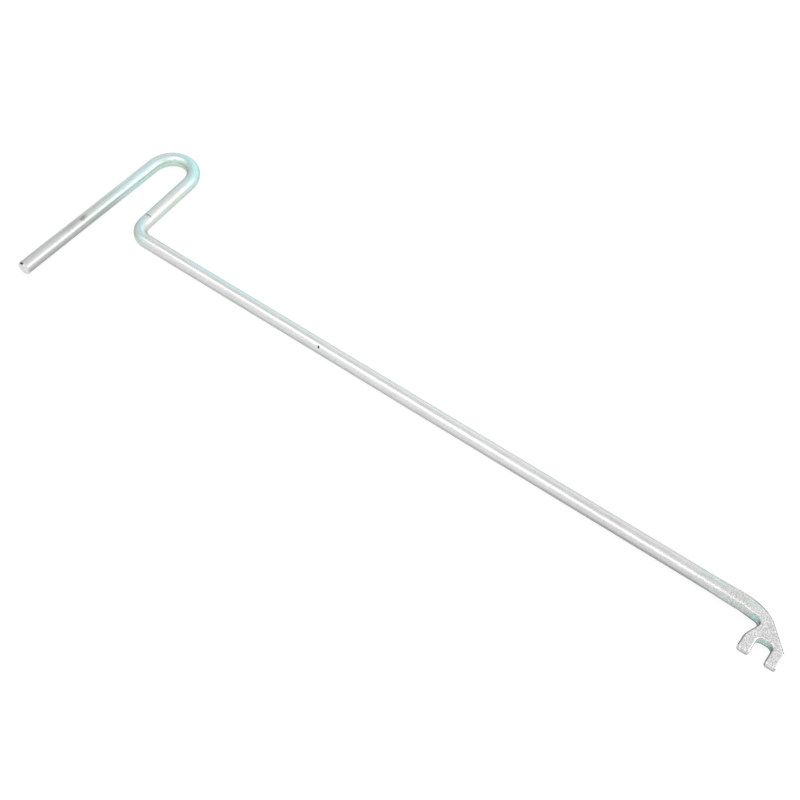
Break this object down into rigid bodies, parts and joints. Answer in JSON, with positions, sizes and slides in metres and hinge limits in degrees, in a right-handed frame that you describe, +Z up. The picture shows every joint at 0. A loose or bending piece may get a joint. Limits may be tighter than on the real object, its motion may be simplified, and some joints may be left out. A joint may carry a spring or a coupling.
{
  "type": "forked pull rod",
  "caption": "Round steel bar bent into a hook handle at one end and forged at the other into a flat fork with a U slot square to the shaft.",
  "frame": {"origin": "under the middle of the tool's box, on the surface that it lies on", "axes": "+X along the shaft from the handle to the fork, -Y the way the fork's slot opens, +Z up from the surface, square to the plane of the bends"},
  "size_m": [0.5336, 0.1448, 0.0095],
  "materials": {
    "zinc_bar": "bright clear-passivated zinc plating on drawn round bar, faint blue and green tint",
    "zinc_forged": "zinc plating over a fine-grained forged surface, satin"
  },
  "bodies": {
    "root": {"grip_leg": "zinc_bar", "return_bend": "zinc_bar", "offset_leg": "zinc_bar", "shoulder_bend": "zinc_bar", "shaft": "zinc_bar", "neck": "zinc_forged", "fork_heel": "zinc_forged", "inner_prong": "zinc_forged", "outer_prong": "zinc_forged"}
  },
  "joints": []
}
